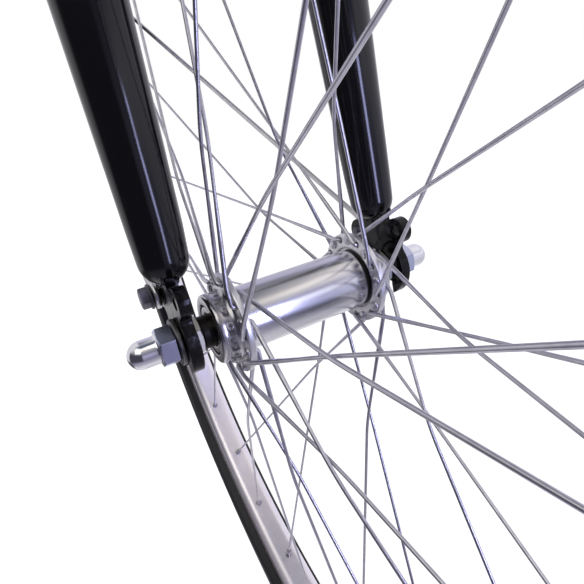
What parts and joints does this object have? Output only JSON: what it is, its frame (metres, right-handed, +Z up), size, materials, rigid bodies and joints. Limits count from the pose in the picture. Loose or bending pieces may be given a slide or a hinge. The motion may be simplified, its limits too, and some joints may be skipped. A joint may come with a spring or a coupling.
{
  "type": "bicycle front fork with wheel",
  "caption": "Straight-bladed steel front fork of a city bicycle with its spoked wheel turning on a bolted axle, a mudguard and its wire stay.",
  "frame": {"origin": "centre of the crown race seat, on the steering axis", "axes": "+Z up the steering axis, +X forward, +Y to the rider's left; the wheel turns about a line along Y"},
  "size_m": [0.7012, 0.1524, 0.9432],
  "materials": {
    "black_paint": "gloss",
    "zinc_plate": "satin",
    "chrome_plate": "polished",
    "black_oxide_steel": "satin",
    "dark_steel": "satin",
    "mudguard_plastic": "gloss",
    "polished_aluminium": "polished",
    "bright_steel": "polished",
    "stainless_wire": "satin",
    "anodised_aluminium": "satin",
    "tyre_rubber": "matte",
    "valve_brass": "satin"
  },
  "bodies": {
    "fork": {"steerer_tube": "black_paint", "fork_leg_left": "black_paint", "fork_leg_right": "black_paint", "crown_race": "zinc_plate", "locknut_left": "zinc_plate", "locknut_right": "zinc_plate", "washer_left": "zinc_plate", "washer_right": "zinc_plate", "mudguard_bracket": "zinc_plate", "mudguard_stay": "zinc_plate", "cap_nut_left": "chrome_plate", "cap_nut_right": "chrome_plate", "cone_left": "black_oxide_steel", "cone_right": "black_oxide_steel", "axle": "dark_steel", "eyelet_bolt_left": "dark_steel", "eyelet_bolt_right": "dark_steel", "mudguard": "mudguard_plastic"},
    "wheel": {"hub_barrel": "polished_aluminium", "hub_flange_left": "bright_steel", "hub_flange_right": "bright_steel", "rim": "anodised_aluminium", "tyre": "tyre_rubber", "valve": "valve_brass", "spoke_left_01": "stainless_wire", "spoke_left_02": "stainless_wire", "spoke_left_03": "stainless_wire", "spoke_left_04": "stainless_wire", "spoke_left_05": "stainless_wire", "spoke_left_06": "stainless_wire", "spoke_left_07": "stainless_wire", "spoke_left_08": "stainless_wire", "spoke_left_09": "stainless_wire", "spoke_left_10": "stainless_wire", "spoke_left_11": "stainless_wire", "spoke_left_12": "stainless_wire", "spoke_left_13": "stainless_wire", "spoke_left_14": "stainless_wire", "spoke_left_15": "stainless_wire", "spoke_left_16": "stainless_wire", "spoke_left_17": "stainless_wire", "spoke_left_18": "stainless_wire", "spoke_right_01": "stainless_wire", "spoke_right_02": "stainless_wire", "spoke_right_03": "stainless_wire", "spoke_right_04": "stainless_wire", "spoke_right_05": "stainless_wire", "spoke_right_06": "stainless_wire", "spoke_right_07": "stainless_wire", "spoke_right_08": "stainless_wire", "spoke_right_09": "stainless_wire", "spoke_right_10": "stainless_wire", "spoke_right_11": "stainless_wire", "spoke_right_12": "stainless_wire", "spoke_right_13": "stainless_wire", "spoke_right_14": "stainless_wire", "spoke_right_15": "stainless_wire", "spoke_right_16": "stainless_wire", "spoke_right_17": "stainless_wire", "spoke_right_18": "stainless_wire"}
  },
  "joints": [
    {"name": "wheel_spin", "type": "hinge", "parent": "fork", "child": "wheel", "pos_m": [0.03721, 0, -0.40321], "axis": [0, 1, 0], "continuous": true}
  ]
}
